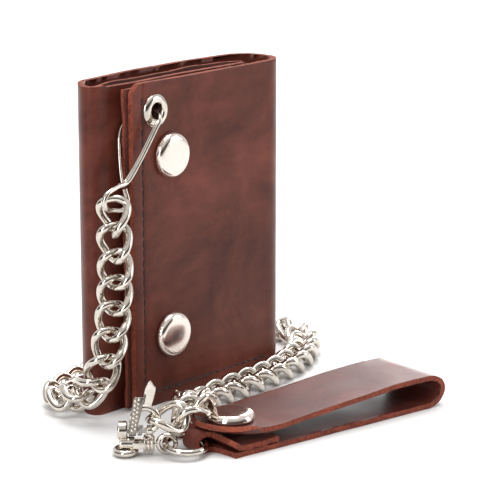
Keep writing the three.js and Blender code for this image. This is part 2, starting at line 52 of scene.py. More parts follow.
# ---- wallet ----
HEIGHT = 108
LEATHER = 2.0
HIDE_GAP = 0.02  # between the floor and the lowest edge of a hide
LINING = 1.2
RIGHT_FOLD_X = 67.5
LEFT_FOLD_X = -2.0
BACK_Y = 20.5  # centre line of the back panel at the right fold
STITCH = 4.6  # distance of a seam from the edge
STITCH_PITCH = 3.3
SEAM_X = 33.0  # where the two pieces of hide meet on the back

# ---- snaps and eyelet ----
SNAP_X = 17.4
SNAP_HEIGHTS = {"lower": 23, "upper": 83.2}
CAP_RADIUS = 7.6
CAP_HEIGHT = 3.1
EYELET_X = 10.5
EYELET_Z = 98.5

# ---- chain ----
LINK_WIRE = 1.3
LINK_A = 5.8
LINK_B = 4.6
LINK_TWIST = 2.4
LINK_PITCH = 8.45
CHAIN_REST = 4.2
NEAR_FLOOR = 1.2  # a link lower than this is let down on to the floor
LINK_GAP = 0.05
FLAT = (0, 0, 1)
FROM_CLIP = [
    ((-12.6, -3.2, 72.5), (-1, 0.1, 0)),
    ((-13, -3.8, 62), (-0.95, -0.32, 0)),
    ((-13, -4, 50), (-0.77, -0.64, 0)),
    ((-14, -4, 38), (-0.87, -0.5, 0)),
    ((-16.6, -4.1, 27), (-0.9, -0.43, 0)),
    ((-18.5, -2.7, 16.9), (-0.85, -0.53, -0.5)),
    ((-18.9, 6.7, 8.2), (-0.98, -0.22, -0.84)),
    ((-19, 7.6, 6.8), (-0.63, -0.78, -0.67)),
    ((-16.2, 17.2, 5.7), (-0.46, -0.65, 1.13)),
    ((-9.8, 26, 4.4), FLAT),
    ((2, 30.5, CHAIN_REST), FLAT),
    ((16, 33.5, CHAIN_REST), FLAT),
    ((20, 33.8, CHAIN_REST), FLAT),
]
FROM_HOOK = [
    ((-27.5, -33.8, 11.4), (-0.76, -0.65, -0.02)),
    ((-26, -38.8, 10.7), (0.17, -0.31, 0.94)),
    ((-9.1, -36.3, 13.4), (0.2, 0.42, 0.89)),
    ((-3, -25, 9.7), (0.18, 0.1, 0.98)),
    ((2.9, -20.3, 5.7), (0.09, 0.08, 0.99)),
    ((22, -14.5, CHAIN_REST), FLAT),
    ((40, -13.5, CHAIN_REST), FLAT),
    ((57, -12, CHAIN_REST), FLAT),
    ((71, -8.5, CHAIN_REST), FLAT),
    ((84, -2, CHAIN_REST), FLAT),
    ((94, 7, CHAIN_REST), FLAT),
    ((98, 18, CHAIN_REST), FLAT),
    ((93, 28, CHAIN_REST), FLAT),
    ((80, 33, CHAIN_REST), FLAT),
]
LINKS_BEFORE = 12  # links with a CAD node of their own from the clip
LINKS_AFTER = 15  # and up to the hook

# ---- hook and ring, in the hook's frame: u along it, v away from the front, w up ----
HOOK_FRAME = Matrix.Translation((-32, -31.6, 0)) @ Matrix.Rotation(math.radians(-49.4), 4, "Z")
AXLE_V, AXLE_W = 2, 8
BARREL_W = 3.7
RING_U, RING_W, RING_RADIUS, RING_WIRE = 14, 3.35, 6.2, 1.1

# ---- belt loop, in its frame: s along the strap, n across it, z up ----
BELT_FRAME = Matrix.Rotation(math.radians(-11), 4, "Z")
BELT_MID = -44
BELT_WIDTH = 26
BELT_LEATHER = 1.7
BELT_SNAP = 4.8
BELT_LOW = 0.95  # centre line of the lower layer
BELT_HIGH = 10.45
BELT_END = 76.5
BELT_REACH = 7.1
TAB_WIDTH = 6.4
TAB_WIDENS_AT = -4.9
TAB_WIDENS_OVER = 2.0
TIP_CENTRE = 5.3  # where the rounding of the upper layer's tip begins
TIP_LENGTH = 12.5
TIP_FROM = 20  # the rows of the sheet are drawn in from here on

STITCH_SEED = 7

# ---- studio, in metres and degrees ----
LENS = 158.4
CAMERA_AT = (-0.4977, -0.4747, 0.2227)
CAMERA_YAW = 49.45
CAMERA_PITCH = 13.756
FLOOR_SIZE = 3.5
LIT_CENTRE = (0.02, -0.01, 0.05)
LAMPS = {
    "overhead": ((0.1, 0.15, 1.3), (0.9, 0.9), 13),
    "left_soft_box": ((-1.15, -0.25, 0.5), (0.3, 0.9), 7),
    "right_soft_box": ((0.95, -0.95, 0.45), (0.5, 0.8), 4),
    "rim_soft_box": ((1.0, 0.45, 0.4), (0.3, 0.9), 5),
}


# ---------------------------------------------------------------- materials
def new_material(name):
    material = bpy.data.materials.new(name)
    material.use_nodes = True
    return material, material.node_tree.nodes, material.node_tree.links


def noise_at(nodes, links, coords, scale, detail=4, roughness=0.55, distortion=0.0):
    node = nodes.new("ShaderNodeTexNoise")
    node.inputs["Scale"].default_value = scale
    node.inputs["Detail"].default_value = detail
    node.inputs["Roughness"].default_value = roughness
    node.inputs["Distortion"].default_value = distortion
    links.new(coords, node.inputs["Vector"])
    return node.outputs["Fac"]


def ramp(nodes, links, factor, stops):
    node = nodes.new("ShaderNodeValToRGB")
    elements = node.color_ramp.elements
    while len(elements) < len(stops):
        elements.new(0.5)
    for element, (place, colour) in zip(elements, stops):
        element.position = place
        element.color = (*colour, 1)
    links.new(factor, node.inputs["Fac"])
    return node.outputs["Color"]


def mix_colour(nodes, links, factor, a, b, mode="MIX"):
    node = nodes.new("ShaderNodeMix")
    node.data_type = "RGBA"
    node.blend_type = mode
    node.clamp_factor = True
    for value, key in ((factor, 0), (a, 6), (b, 7)):
        if isinstance(value, (int, float)):
            node.inputs[key].default_value = value
        elif isinstance(value, tuple):
            node.inputs[key].default_value = (*value, 1)
        else:
            links.new(value, node.inputs[key])
    return node.outputs[2]


def map_range(nodes, links, value, low, high, to_low, to_high):
    node = nodes.new("ShaderNodeMapRange")
    links.new(value, node.inputs["Value"])
    for key, number in zip(("From Min", "From Max", "To Min", "To Max"), (low, high, to_low, to_high)):
        node.inputs[key].default_value = number
    return node.outputs["Result"]


def bump(nodes, links, height, strength, distance, normal=None):
    node = nodes.new("ShaderNodeBump")
    node.inputs["Strength"].default_value = strength
    node.inputs["Distance"].default_value = distance
    links.new(height, node.inputs["Height"])
    if normal is not None:
        links.new(normal, node.inputs["Normal"])
    return node.outputs["Normal"]


def leather_material(name, dark, mid, light, rough, wax_coat, gloss):
    """Smooth pulled-up hide: cloudy dye, fine pores and hair creases, a waxed surface."""
    material, nodes, links = new_material(name)
    shader = nodes["Principled BSDF"]
    coords = nodes.new("ShaderNodeTexCoord").outputs["Object"]
    cloud = noise_at(nodes, links, coords, 38, 5, 0.6, 0.6)
    colour = ramp(nodes, links, cloud, [(0.3, dark), (0.52, mid), (0.74, light)])
    streak_map = nodes.new("ShaderNodeMapping")
    streak_map.inputs["Scale"].default_value = (60, 60, 210)
    links.new(coords, streak_map.inputs["Vector"])
    streak = noise_at(nodes, links, streak_map.outputs["Vector"], 1.4, 4, 0.6, 0.2)
    streaks = ramp(nodes, links, streak, [(0.34, (0.72, 0.72, 0.72)), (0.64, (1.12, 1.1, 1.1))])
    colour = mix_colour(nodes, links, 0.55, colour, streaks, "MULTIPLY")
    pores = nodes.new("ShaderNodeTexVoronoi")
    pores.inputs["Scale"].default_value = 1500
    links.new(coords, pores.inputs["Vector"])
    pore_shade = ramp(nodes, links, pores.outputs["Distance"], [(0.0, (0.66, 0.62, 0.6)), (0.3, (1, 1, 1))])
    colour = mix_colour(nodes, links, 0.4, colour, pore_shade, "MULTIPLY")
    links.new(colour, shader.inputs["Base Color"])
    fine = noise_at(nodes, links, coords, 900, 5, 0.65)
    wax = noise_at(nodes, links, coords, 70, 3, 0.5)
    links.new(map_range(nodes, links, wax, 0.3, 0.7, rough - 0.06, rough + 0.08), shader.inputs["Roughness"])
    creases = noise_at(nodes, links, coords, 260, 4, 0.6, 1.2)
    normal = bump(nodes, links, creases, 0.12, 0.0006)
    normal = bump(nodes, links, fine, 0.16, 0.0002, normal)
    normal = bump(nodes, links, pores.outputs["Distance"], 0.1, 0.00015, normal)
    links.new(normal, shader.inputs["Normal"])
    shader.inputs["Specular IOR Level"].default_value = gloss
    shader.inputs["Coat Weight"].default_value = wax_coat
    shader.inputs["Coat Roughness"].default_value = 0.42
    return material


def edge_material(name, dark, light):
    """Cut edge of the hide: matted fibres, redder than the face."""
    material, nodes, links = new_material(name)
    shader = nodes["Principled BSDF"]
    coords = nodes.new("ShaderNodeTexCoord").outputs["Object"]
    fibres = noise_at(nodes, links, coords, 1100, 6, 0.75, 0.8)
    patches = noise_at(nodes, links, coords, 160, 4, 0.6)
    colour = ramp(nodes, links, fibres, [(0.32, dark), (0.66, light)])
    tone = ramp(nodes, links, patches, [(0.35, (0.55, 0.5, 0.48)), (0.65, (1.15, 1.05, 1.0))])
    links.new(mix_colour(nodes, links, 0.7, colour, tone, "MULTIPLY"), shader.inputs["Base Color"])
    shader.inputs["Roughness"].default_value = 0.82
    shader.inputs["Sheen Weight"].default_value = 0.08
    shader.inputs["Specular IOR Level"].default_value = 0.2
    normal = bump(nodes, links, fibres, 0.6, 0.0005)
    links.new(normal, shader.inputs["Normal"])
    return material


def metal_material(name, tint, shade, low, high, scratches):
    """Polished plating: faint cloudiness in its gloss, hairline scratches, a darker tint in patches."""
    material, nodes, links = new_material(name)
    shader = nodes["Principled BSDF"]
    coords = nodes.new("ShaderNodeTexCoord").outputs["Object"]
    clouds = noise_at(nodes, links, coords, 240, 4, 0.6)
    links.new(ramp(nodes, links, clouds, [(0.3, shade), (0.62, tint)]), shader.inputs["Base Color"])
    links.new(map_range(nodes, links, clouds, 0.3, 0.7, low, high), shader.inputs["Roughness"])
    hair_map = nodes.new("ShaderNodeMapping")
    hair_map.inputs["Scale"].default_value = (900, 5200, 900)
    hair_map.inputs["Rotation"].default_value = (0.3, 0.2, 0.6)
    links.new(coords, hair_map.inputs["Vector"])
    hair = noise_at(nodes, links, hair_map.outputs["Vector"], 1, 3, 0.5)
    waves = noise_at(nodes, links, coords, 420, 2, 0.5)
    normal = bump(nodes, links, waves, scratches, 0.0003)
    normal = bump(nodes, links, hair, scratches * 0.5, 0.00005, normal)
    links.new(normal, shader.inputs["Normal"])
    shader.inputs["Metallic"].default_value = 1.0
    return material


def thread_material():
    material, nodes, links = new_material("waxed_thread")
    shader = nodes["Principled BSDF"]
    coords = nodes.new("ShaderNodeTexCoord").outputs["Object"]
    twist = nodes.new("ShaderNodeTexWave")
    twist.bands_direction = "DIAGONAL"
    twist.inputs["Scale"].default_value = 700
    links.new(coords, twist.inputs["Vector"])
    ply_shades = [(0.2, (0.012, 0.006, 0.005)), (0.8, (0.05, 0.022, 0.017))]
    colour = ramp(nodes, links, twist.outputs["Fac"], ply_shades)
    links.new(colour, shader.inputs["Base Color"])
    links.new(bump(nodes, links, twist.outputs["Fac"], 0.6, 0.0001), shader.inputs["Normal"])
    shader.inputs["Roughness"].default_value = 0.62
    return material


HIDE = leather_material(
    "oxblood_hide", (0.066, 0.0135, 0.0085), (0.136, 0.033, 0.0205), (0.2, 0.053, 0.034),
    rough=0.34, wax_coat=0.0, gloss=0.18,
)
STRAP = leather_material(
    "strap_hide", (0.056, 0.0125, 0.009), (0.105, 0.0235, 0.016), (0.155, 0.039, 0.027),
    rough=0.42, wax_coat=0.04, gloss=0.4,
)
INSIDE = leather_material(
    "lining_hide", (0.06, 0.018, 0.013), (0.11, 0.034, 0.024), (0.16, 0.055, 0.04),
    rough=0.62, wax_coat=0.0, gloss=0.3,
)
# The strap hide again for the ring tab, grain side up, made lighter and less glossy: painted light for the
# shade under the strap's tip, where the leather reflects no backdrop.
STRAP_PAINTED_LIGHT = leather_material(
    "strap_hide_painted_light", (0.08, 0.0175, 0.012), (0.165, 0.04, 0.026), (0.24, 0.07, 0.048),
    rough=0.5, wax_coat=0.0, gloss=0.3,
)
CUT_EDGE = edge_material("cut_edge", (0.075, 0.016, 0.01), (0.4, 0.095, 0.052))
NICKEL = metal_material("polished_nickel", (0.74, 0.68, 0.61), (0.5, 0.455, 0.405), 0.06, 0.15, 0.06)
BRIGHT = metal_material("cap_nickel", (0.86, 0.755, 0.69), (0.8, 0.7, 0.64), 0.12, 0.18, 0.02)
STEEL = metal_material("plain_steel", (0.62, 0.6, 0.57), (0.42, 0.4, 0.38), 0.24, 0.42, 0.12)
SHADED = metal_material("shaded_nickel", (0.3, 0.27, 0.24), (0.15, 0.135, 0.12), 0.16, 0.3, 0.06)
THREAD = thread_material()


# ---------------------------------------------------------------- making and placing
def smooth_points(points, steps):
    """Points on a smooth curve through the given ones, with so many steps between each two."""
    stops = [Vector(p) for p in points]
    stops = [2 * stops[0] - stops[1], *stops, 2 * stops[-1] - stops[-2]]
    line = []
    for a, b, c, d in zip(stops, stops[1:], stops[2:], stops[3:]):
        for k in range(steps):
            t = k / steps
            square = (2 * a - 5 * b + 4 * c - d) * t * t
            cube = (3 * b - a - 3 * c + d) * t * t * t
            line.append(0.5 * (2 * b + (c - a) * t + square + cube))
    line.append(stops[-2])
    return line


def arc(cx, cy, rx, ry, start, end, steps):
    line = []
    for i in range(steps + 1):
        angle = math.radians(start + (end - start) * i / steps)
        line.append(Vector((cx + rx * math.cos(angle), cy + ry * math.sin(angle))))
    return line


def spaced(start, end, step, seams=()):
    """Even places from start to end, with more of them beside each seam."""
    count = max(2, round(abs(end - start) / step))
    places = {round(start + (end - start) * i / count, 3) for i in range(count + 1)}
    for seam in seams:
        places = {p for p in places if abs(p - seam) > 0.9 or p in (start, end)}
        places |= {round(seam + d, 3) for d in (-0.8, -0.5, -0.25, 0, 0.25, 0.5, 0.8)}
    return sorted(p for p in places if min(start, end) <= p <= max(start, end))


def merged(*parts):
    """Several shapes as one, for a piece that is welded up from them."""
    whole = bmesh.new()
    for part in parts:
        mesh = bpy.data.meshes.new("part")
        part.to_mesh(mesh)
        whole.from_mesh(mesh)
        bpy.data.meshes.remove(mesh)
        part.free()
    return whole


def outward(shape):
    bmesh.ops.remove_doubles(shape, verts=shape.verts, dist=1e-4)
    bmesh.ops.recalc_face_normals(shape, faces=shape.faces)
    return shape


def turned(profile, steps=56):
    """A shape turned about Z from its [radius, height] profile."""
    shape = bmesh.new()
    points = [shape.verts.new((r, 0, h)) for r, h in profile]
    edges = [shape.edges.new(pair) for pair in zip(points, points[1:])]
    bmesh.ops.spin(
        shape, geom=points + edges, cent=(0, 0, 0), axis=(0, 0, 1), angle=2 * math.pi, steps=steps,
        use_merge=True,
    )
    return outward(shape)


def rod(radius, length, rounding=0.25, steps=40):
    """A round bar along Z with eased ends."""
    half = length / 2
    eased = [(radius - rounding * (1 - math.sin(a)), half - rounding * (1 - math.cos(a)))
             for a in (0, math.pi / 8, math.pi / 4, 3 * math.pi / 8, math.pi / 2)]
    top = [(0, half), *eased]
    return turned(top + [(r, -h) for r, h in reversed(top)], steps)


def wire(points, radius, cyclic=False, sides=6):
    """A round wire along a line of points."""
    curve = bpy.data.curves.new("wire", "CURVE")
    curve.dimensions = "3D"
    curve.bevel_depth = radius
    curve.bevel_resolution = sides
    curve.use_fill_caps = True
    spline = curve.splines.new("POLY")
    spline.points.add(len(points) - 1)
    for point, place in zip(spline.points, points):
        point.co = (*place, 1)
    spline.use_cyclic_u = cyclic
    holder = bpy.data.objects.new("wire", curve)
    bpy.context.scene.collection.objects.link(holder)
    depsgraph = bpy.context.evaluated_depsgraph_get()
    mesh = bpy.data.meshes.new_from_object(holder.evaluated_get(depsgraph))
    shape = bmesh.new()
    shape.from_mesh(mesh)
    bpy.data.objects.remove(holder)
    bpy.data.meshes.remove(mesh)
    bpy.data.curves.remove(curve)
    return outward(shape)


def bar(outline, low, high, ease=0.2):
    """A flat bar cut to an outline in XZ, between two heights along Y, with eased edges."""
    shape = bmesh.new()
    face = shape.faces.new([shape.verts.new((x, low, z)) for x, z in outline])
    made = bmesh.ops.extrude_face_region(shape, geom=[face])["geom"]
    far_side = [g for g in made if isinstance(g, bmesh.types.BMVert)]
    bmesh.ops.translate(shape, verts=far_side, vec=(0, high - low, 0))
    outward(shape)
    sharp = [e for e in shape.edges if e.calc_face_angle(0) > 0.5]
    bmesh.ops.bevel(
        shape, geom=sharp, offset=ease, offset_type="OFFSET", segments=3, profile=0.5,
        affect="EDGES", material=-1,
    )
    return shape


def moved(shape, matrix):
    bmesh.ops.transform(shape, matrix=matrix, verts=shape.verts)
    return shape


def at(x, y, z):
    return Matrix.Translation((x, y, z))


def along_x():
    return Matrix.Rotation(math.pi / 2, 4, "Y")


def along_y():
    """Turns a shape made about Z so that its top faces the front."""
    return Matrix.Rotation(math.pi / 2, 4, "X")


def object_of(shape, name, materials, crease=42):
    """The finished shape in metres as an object, smooth but for its real edges."""
    limit = math.radians(crease)
    for face in shape.faces:
        face.smooth = True
    for edge in shape.edges:
        edge.smooth = not edge.is_manifold or edge.calc_face_angle(0) < limit
    bmesh.ops.scale(shape, vec=(MM, MM, MM), verts=shape.verts)
    mesh = bpy.data.meshes.new(name)
    shape.to_mesh(mesh)
    shape.free()
    for material in materials:
        mesh.materials.append(material)
    piece = bpy.data.objects.new(name, mesh)
    bpy.context.scene.collection.objects.link(piece)
    return piece


def finish(piece, nodes, body=None, bend=None):
    """Ties a piece to its body, or bakes its placement into its mesh when it is given a bend, and hides the
    CAD nodes it stands for.
    """
    if bend:
        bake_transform(piece)
    else:
        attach(piece, body)
    if nodes:
        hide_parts(*nodes)
    return piece


def metal(shape, name, body, nodes, material=NICKEL, crease=42):
    return finish(object_of(shape, name, [material], crease), nodes, body)


# ---------------------------------------------------------------- leather
def sheet(path, rows, shaping=None):
    """A sheet one face thick: a line in XY, drawn up through the rows along Z, then shaped."""
    shape = bmesh.new()
    line = [shape.verts.new((p[0], p[1], rows[0])) for p in path]
    edges = [shape.edges.new(pair) for pair in zip(line, line[1:])]
    for low, high in zip(rows, rows[1:]):
        made = bmesh.ops.extrude_edge_only(shape, edges=edges)["geom"]
        fresh = {g for g in made if isinstance(g, bmesh.types.BMVert)}
        bmesh.ops.translate(shape, verts=list(fresh), vec=(0, 0, high - low))
        edges = [g for g in made if isinstance(g, bmesh.types.BMEdge) and set(g.verts) <= fresh]
    if shaping:
        for vert in shape.verts:
            vert.co = shaping(vert.co.copy())
    bmesh.ops.recalc_face_normals(shape, faces=shape.faces)
    return shape


def hide(shape, name, thickness, materials, matrix=None, ease=0.35, ragged=0.1, cutter=None):
    """Gives a sheet its thickness, eased and slightly ragged cut edges, and a material for them."""
    piece = object_of(shape, name, materials, 180)
    piece.data.transform(Matrix.Scale(1 / MM, 4))
    thick = piece.modifiers.new("thickness", "SOLIDIFY")
    thick.thickness = thickness
    thick.offset = 0
    thick.use_even_offset = True
    thick.material_offset_rim = 1
    if cutter:
        hole = piece.modifiers.new("hole", "BOOLEAN")
        hole.object = cutter
        hole.solver = "EXACT"
    eased = piece.modifiers.new("eased", "BEVEL")
    eased.width = ease
    eased.segments = 3
    eased.limit_method = "ANGLE"
    eased.angle_limit = math.radians(50)
    depsgraph = bpy.context.evaluated_depsgraph_get()
    mesh = bpy.data.meshes.new_from_object(piece.evaluated_get(depsgraph))
    piece.modifiers.clear()
    piece.data = mesh
    if cutter:
        bpy.data.objects.remove(cutter)
    for polygon in mesh.polygons:
        polygon.use_smooth = True
    rim = {v for p in mesh.polygons if p.material_index == 1 for v in p.vertices}
    for index in rim:
        vert = mesh.vertices[index]
        wave = noise.noise_vector(vert.co * 0.9) * ragged + noise.noise_vector(vert.co * 3.1) * ragged * 0.6
        vert.co += wave
    if matrix:
        mesh.transform(matrix)
    lowest = min(v.co.z for v in mesh.vertices)
    if lowest < HIDE_GAP:
        for vert in mesh.vertices:
            vert.co.z = max(vert.co.z, HIDE_GAP)
    mesh.transform(Matrix.Scale(MM, 4))
    if matrix and matrix.determinant() < 0:
        mesh.flip_normals()
    mesh.update()
    return piece


def seam_dent(distance, along):
    """How far a row of stitches pulls the leather in, with a pucker between two holes."""
    pucker = 0.75 + 0.25 * math.cos(2 * math.pi * along / STITCH_PITCH)
    return 0.4 * pucker * math.exp(-((distance / 0.55) ** 2))


def front_shaping(co):
    """Front panel, right fold and back: corner cut off, seams pulled in, edges not quite straight."""
    front = co.y < 1.5 and co.x < RIGHT_FOLD_X
    ripple = 0.22 * noise.noise(Vector((co.x * 0.05, co.y * 0.08, 3.1)))
    if front and co.x < 3:
        share = (3 - co.x) / 3
        ripple -= 2.6 * share**1.2
    lift = 1 + ripple / HEIGHT
    z = co.z * lift
    y = co.y
    if front:
        if co.z > STITCH - 0.5:
            y += seam_dent(co.x - STITCH, co.z)
        if co.x > STITCH - 0.5:
            y += seam_dent(co.z - STITCH, co.x)
        y += 0.25 * noise.noise(Vector((co.x * 0.03, 0, co.z * 0.03)))
        return Vector((co.x + 0.15 * noise.noise(Vector((7, 1, co.z * 0.2))), y, z))
    if co.y > 18:
        y -= seam_dent(co.z - STITCH, co.x)
        y += 0.4 * noise.noise(Vector((co.x * 0.03, 5, co.z * 0.03)))
    return Vector((co.x, y, z))


def back_shaping(co):
    """Back, left fold and the panel folded inside."""
    ripple = 0.25 * noise.noise(Vector((co.x * 0.05, co.y * 0.08, 9.4)))
    z = co.z * (1 + ripple / HEIGHT)
    y = co.y
    x = co.x
    if co.y > 17 and co.x > -3:
        y -= seam_dent(co.z - STITCH, co.x)
        y += 0.4 * noise.noise(Vector((co.x * 0.03, 5, co.z * 0.03)))
    elif co.y < 8 and co.x > -6:
        z *= (HEIGHT - 0.5) / HEIGHT
    else:
        x += seam_dent(co.z - STITCH, co.y * 1.3)
    return Vector((x, y, z))


def lining_shaping(wander, seed):
    """A lining's edges, cut by hand."""
    def shaping(co):
        x = co.x + wander * noise.noise(Vector((seed, 2, co.z * 0.14))) * max(0, 1 - abs(co.x + 1.5) / 8)
        z = co.z * (1 + 0.35 * noise.noise(Vector((co.x * 0.08, seed, 4))) / HEIGHT)
        return Vector((x, co.y, z))
    return shaping


def rounded_cutter(x, z, radius):
    shape = turned([(0, -6), (radius, -6), (radius, 6), (0, 6)], 40)
    cutter = object_of(moved(shape, at(x, 1, z) @ along_y()), "cutter", [], 180)
    cutter.data.transform(Matrix.Scale(1 / MM, 4))
    cutter.hide_render = True
    return cutter


def back_line():
    """Centre line of the back panel in plan, from the right fold to the left one."""
    stops = [(RIGHT_FOLD_X, BACK_Y), (45, 21.8), (20, 21.3), (LEFT_FOLD_X, 18.9)]
    return [p.to_2d() for p in smooth_points([(x, y, 0) for x, y in stops], 16)]


def make_wallet():
    rows = spaced(0, HEIGHT, 1.6, [STITCH])
    front = [Vector((x, LEATHER / 2)) for x in spaced(0, RIGHT_FOLD_X, 1.4, [STITCH])]
    fold = arc(RIGHT_FOLD_X, BACK_Y / 2 + 0.5, 9, BACK_Y / 2 - 0.5, -90, 90, 26)[1:-1]
    back = back_line()
    right_half = [p for p in back if p.x > SEAM_X + 0.7]
    left_half = [p for p in back if p.x < SEAM_X - 0.7]
    meet = Vector((SEAM_X, (right_half[-1].y + left_half[0].y) / 2))
    outer = hide(
        sheet([*front, *fold, *right_half, meet], rows, front_shaping), "outer_hide", LEATHER,
        [HIDE, CUT_EDGE], cutter=rounded_cutter(EYELET_X, EYELET_Z, 3.3),
    )
    bend = ("front", "wallet_back", (RIGHT_FOLD_X * MM, 0.0022, 0), (RIGHT_FOLD_X * MM, 0.0172, 0))
    finish(outer, ["front_panel", "right_fold", "back_panel"], bend=bend)

    left_fold = smooth_points([
        (LEFT_FOLD_X, 18.9, 0), (-3, 18.55, 0), (-6, 16.9, 0), (-9.6, 13, 0), (-10.9, 9.6, 0),
        (-9.5, 7.5, 0), (-6, 7.2, 0), (LEFT_FOLD_X, 7.2, 0),
    ], 6)[1:-1]
    inner = [Vector((x, 7.2)) for x in spaced(LEFT_FOLD_X, 62, 1.6)]
    turned_in = hide(
        sheet([meet, *left_half, *[p.to_2d() for p in left_fold], *inner], rows, back_shaping),
        "folded_in_hide", LEATHER, [HIDE, CUT_EDGE],
    )
    bend = ("wallet_back", "inner_panel", (0, 0.0172, 0), (0, 0.0086, 0))
    finish(turned_in, ["left_fold", "inner_flap"], bend=bend)

    rows = spaced(1, HEIGHT - 1.5, 1.6)
    lining_line = [Vector((x, 2.9)) for x in spaced(-1.5, 63.5, 1.5)]
    lining = hide(
        sheet(lining_line, rows, lining_shaping(0.55, 3)), "front_lining_hide", LINING,
        [INSIDE, CUT_EDGE], ease=0.15, ragged=0.16, cutter=rounded_cutter(EYELET_X, EYELET_Z, 3.3),
    )
    finish(lining, ["front_lining"], "front")

    pocket_line = [Vector((x, 9.1)) for x in spaced(1, 60, 1.6)]
    pocket = hide(
        sheet(pocket_line, spaced(2, HEIGHT - 4, 1.8), lining_shaping(0.3, 11)),
        "card_pocket_leather", LINING, [INSIDE, CUT_EDGE], ease=0.15,
    )
    finish(pocket, ["card_pocket"], "inner_panel")

    divider_line = smooth_points([
        (-3.5, 12.8, 0), (6, 14.6, 0), (20, 14.8, 0), (36, 15.5, 0), (50, 15.9, 0), (60, 14.4, 0),
        (66, 11.2, 0),
    ], 8)
    divider = hide(
        sheet(divider_line, spaced(0.6, HEIGHT - 1, 1.8), lining_shaping(0.3, 17)),
        "bill_divider_leather", LINING, [INSIDE, CUT_EDGE], ease=0.15,
    )
    finish(divider, ["bill_divider"], "wallet_back")


def stitch_row(start, end, out):
    """Stitches from start to end, each lying in its dent, a little aslant."""
    start, end, out = Vector(start), Vector(end), Vector(out)
    along = (end - start).normalized()
    side = along.cross(out)
    count = int((end - start).length / STITCH_PITCH)
    stitches = []
    for i in range(count):
        slant = 0.13 + 0.05 * random.uniform(-1, 1)
        shape = bmesh.new()
        bmesh.ops.create_uvsphere(shape, u_segments=10, v_segments=8, radius=1)
        bmesh.ops.scale(shape, vec=(0.38, 0.3, 1.42), verts=shape.verts)
        axes = Matrix((side, out, along)).transposed().to_4x4()
        turn = axes @ Matrix.Rotation(slant, 4, "Y")
        stitches.append(moved(shape, at(*(start + along * STITCH_PITCH * (i + 0.5))) @ turn))
    return stitches


def make_stitching():
    random.seed(STITCH_SEED)
    front = stitch_row((STITCH, 0.12, STITCH), (STITCH, 0.12, HEIGHT - 3), (0, -1, 0))
    front += stitch_row((STITCH + 1.2, 0.12, STITCH), (RIGHT_FOLD_X - 1, 0.12, STITCH), (0, -1, 0))
    seam = object_of(merged(*front), "front_stitches", [THREAD])
    finish(seam, ["front_stitching"], "front")
    stops = back_line()
    back = []
    for a, b in zip(stops[4::4], stops[8::4]):
        outside = Vector((b.y - a.y, a.x - b.x)).normalized() * -1
        if outside.y < 0:
            outside = -outside
        lift = outside * (LEATHER / 2 - 0.12)
        back += stitch_row((a.x + lift.x, a.y + lift.y, STITCH), (b.x + lift.x, b.y + lift.y, STITCH),
                           (outside.x, outside.y, 0))
    seam = object_of(merged(*back), "back_stitches", [THREAD])
    finish(seam, [], "wallet_back")


# ---------------------------------------------------------------- snaps and eyelet
def cap_shape(post):
    """Snap cap about Z: a low dome with a rolled rim, and its post below."""
    dome = smooth_points([
        (0, CAP_HEIGHT, 0), (3.0, CAP_HEIGHT - 0.06, 0), (5.0, CAP_HEIGHT - 0.2, 0),
        (6.2, CAP_HEIGHT - 0.42, 0), (6.9, CAP_HEIGHT - 0.85, 0), (7.35, CAP_HEIGHT - 1.55, 0),
        (CAP_RADIUS, 0.75, 0), (CAP_RADIUS - 0.1, 0.3, 0), (CAP_RADIUS - 0.5, 0.12, 0),
    ], 6)
    profile = [(max(p.x, 0), p.y) for p in dome]
    profile += [(1.5, 0.12), (1.5, -post), (0, -post)]
    return turned(profile, 96)


def socket_shape(height):
    return turned([
        (0, 0), (5.0, 0), (5.2, 0.2), (5.2, 0.5 * height), (4.9, 0.75 * height), (4.2, height),
        (2.9, height), (2.7, height - 0.2), (2.7, 0.5), (0, 0.5),
    ], 48)


def stud_shape(ball, post):
    return turned([
        (0, ball), (1.2, ball), (1.7, ball - 0.15), (2.15, 0.72 * ball), (2.15, 0.6 * ball),
        (1.8, 0.4), (3.6, 0.3), (3.8, 0.15), (3.8, 0), (1.4, 0), (1.4, -post), (0, -post),
    ], 40)


def make_snaps():
    for place, z in SNAP_HEIGHTS.items():
        cap = moved(cap_shape(3.3), at(SNAP_X, 0, z) @ along_y())
        metal(cap, "snap_cap_dome_" + place, "front", ["snap_cap_" + place], BRIGHT)
        socket = moved(socket_shape(1.9), at(SNAP_X, 3.62, z) @ Matrix.Rotation(-math.pi / 2, 4, "X"))
        metal(socket, "snap_socket_ring_" + place, "front", ["snap_socket_" + place], STEEL)
        stud = moved(stud_shape(1.7, 2), at(SNAP_X, 6.1, z) @ along_y())
        metal(stud, "snap_stud_post_" + place, "inner_panel", ["snap_stud_" + place], STEEL)


def make_eyelet():
    flange = smooth_points([
        (2.6, 0.3, 0), (2.85, 0.85, 0), (3.6, 1.14, 0), (4.6, 1.0, 0), (5.3, 0.55, 0), (5.5, 0.2, 0),
    ], 6)
    profile = [(p.x, p.y) for p in flange]
    profile += [(5.3, 0.1), (3.1, 0.1), (3.1, -3.3), (2.6, -3.3), (2.6, 0.3)]
    shape = moved(turned(profile, 72), at(EYELET_X, 0, EYELET_Z) @ along_y())
    metal(shape, "eyelet_ring", "front", ["eyelet"])
    washer = turned([(3.3, 0), (4.9, 0), (4.9, 0.35), (3.3, 0.35), (3.3, 0)], 48)
    turn = Matrix.Rotation(-math.pi / 2, 4, "X")
    metal(moved(washer, at(EYELET_X, 3.62, EYELET_Z) @ turn), "eyelet_back_washer", "front",
          ["eyelet_washer"], STEEL)


